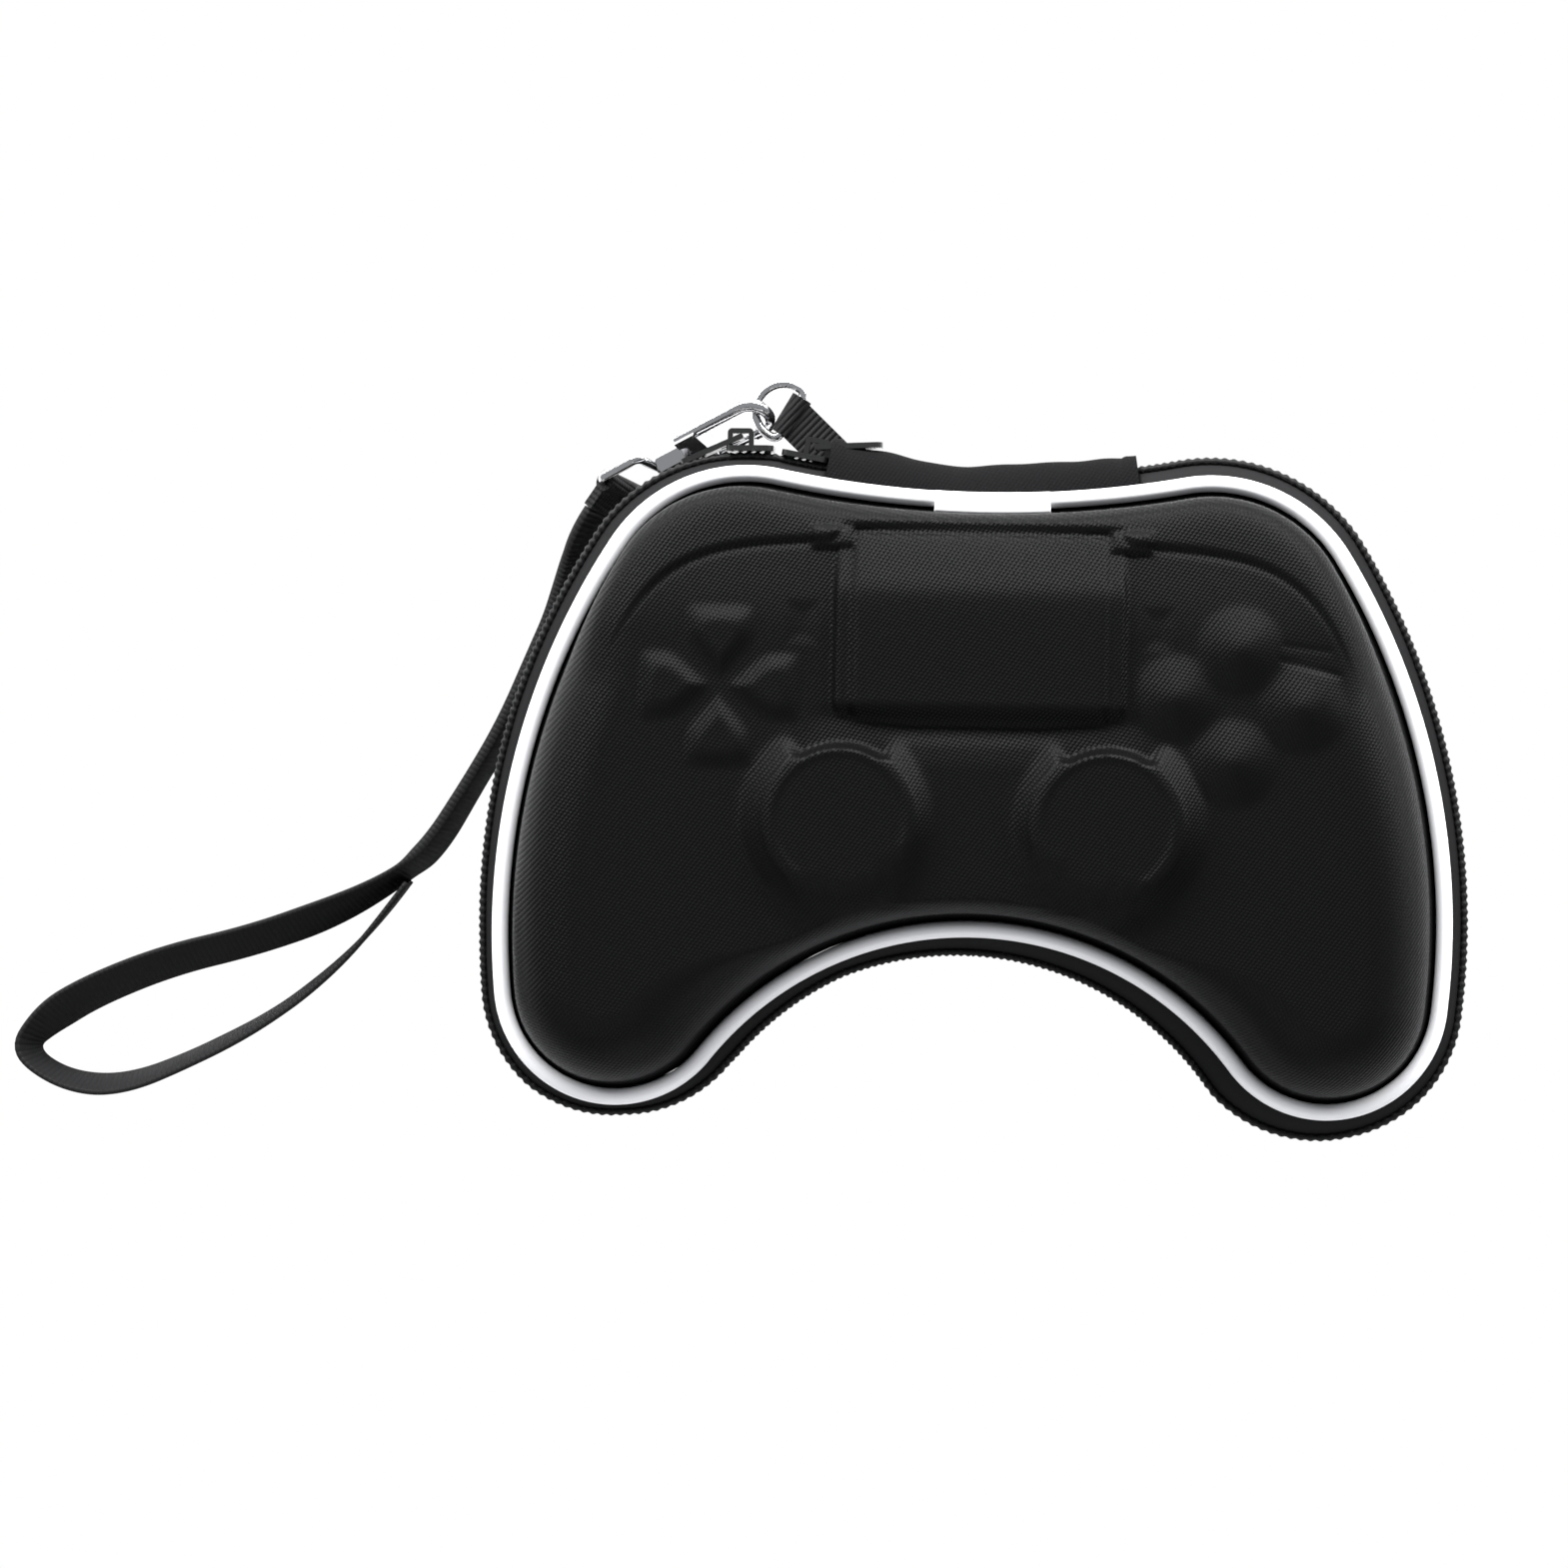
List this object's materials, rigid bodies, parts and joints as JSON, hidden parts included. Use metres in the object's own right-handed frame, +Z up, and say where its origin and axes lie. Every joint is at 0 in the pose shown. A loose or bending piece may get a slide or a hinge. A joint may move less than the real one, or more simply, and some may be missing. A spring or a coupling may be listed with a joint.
{
  "type": "controller carrying case",
  "caption": "Moulded clamshell case shaped like a two-stick game controller, with piped rim, coil zip, fabric spine, D-ring tab, swivel snap hook and folded wrist strap.",
  "frame": {"origin": "centre of the base's flat underside, on the floor", "axes": "+X to the right along the longest side, +Y towards the fabric spine, +Z up through the lid"},
  "size_m": [0.2941, 0.149, 0.0668],
  "materials": {
    "shell_fabric": "black twill",
    "piping": "satin pale grey",
    "sleeve": "satin",
    "zip_tape": "woven tape",
    "coil": "satin black",
    "spine_cloth": "woven",
    "black_enamel": "satin black",
    "webbing": "ribbed webbing",
    "bright_metal": "polished"
  },
  "bodies": {
    "base": {"base_shell": "shell_fabric", "base_piping": "piping", "base_piping_sleeve": "sleeve", "base_zip_tape": "zip_tape", "base_zip_coil": "coil", "spine_fabric": "spine_cloth", "left_slider": "black_enamel", "right_slider": "black_enamel", "ring_tab": "webbing", "wrist_strap": "webbing"},
    "lid": {"lid_shell": "shell_fabric", "lid_piping": "piping", "lid_piping_sleeve": "sleeve", "lid_zip_tape": "zip_tape", "lid_zip_coil": "coil"},
    "left_pull": {"left_puller": "black_enamel"},
    "right_pull": {"right_puller": "black_enamel"},
    "clasp": {"d_ring": "bright_metal", "snap_hook": "bright_metal", "gate_pin": "bright_metal"},
    "gate": {"hook_gate": "bright_metal"},
    "swivel": {"swivel_eye": "bright_metal", "strap_fold": "webbing"}
  },
  "joints": [
    {"name": "lid_hinge", "type": "hinge", "parent": "base", "child": "lid", "pos_m": [0, 0.0669, 0.036], "axis": [-1, 0, 0], "range_deg": [0, 110], "deforming": ["spine_fabric", "lid_zip_tape", "lid_zip_coil"]},
    {"name": "left_puller_turn", "type": "hinge", "parent": "base", "child": "left_pull", "pos_m": [-0.0486, 0.06967, 0.036], "axis": [0, 0, 1], "range_deg": [-90, 0]},
    {"name": "right_puller_turn", "type": "hinge", "parent": "base", "child": "right_pull", "pos_m": [-0.03321, 0.06799, 0.036], "axis": [0, 0, -1], "range_deg": [-100, 0]},
    {"name": "ring_swing", "type": "hinge", "parent": "base", "child": "clasp", "pos_m": [-0.0391, 0.0746, 0.0311], "axis": [-0.5, -0.866, 0], "range_deg": [-52, 10], "deforming": ["wrist_strap"]},
    {"name": "gate_press", "type": "hinge", "parent": "clasp", "child": "gate", "pos_m": [-0.05506, 0.06724, 0.02127], "axis": [0.016, -0.7764, 0.63], "range_deg": [0, 25], "stiffness_Nm_per_rad": 0.002},
    {"name": "swivel_turn", "type": "hinge", "parent": "clasp", "child": "swivel", "pos_m": [-0.06429, 0.06588, 0.01982], "axis": [-0.8035, -0.385, -0.454], "continuous": true}
  ]
}
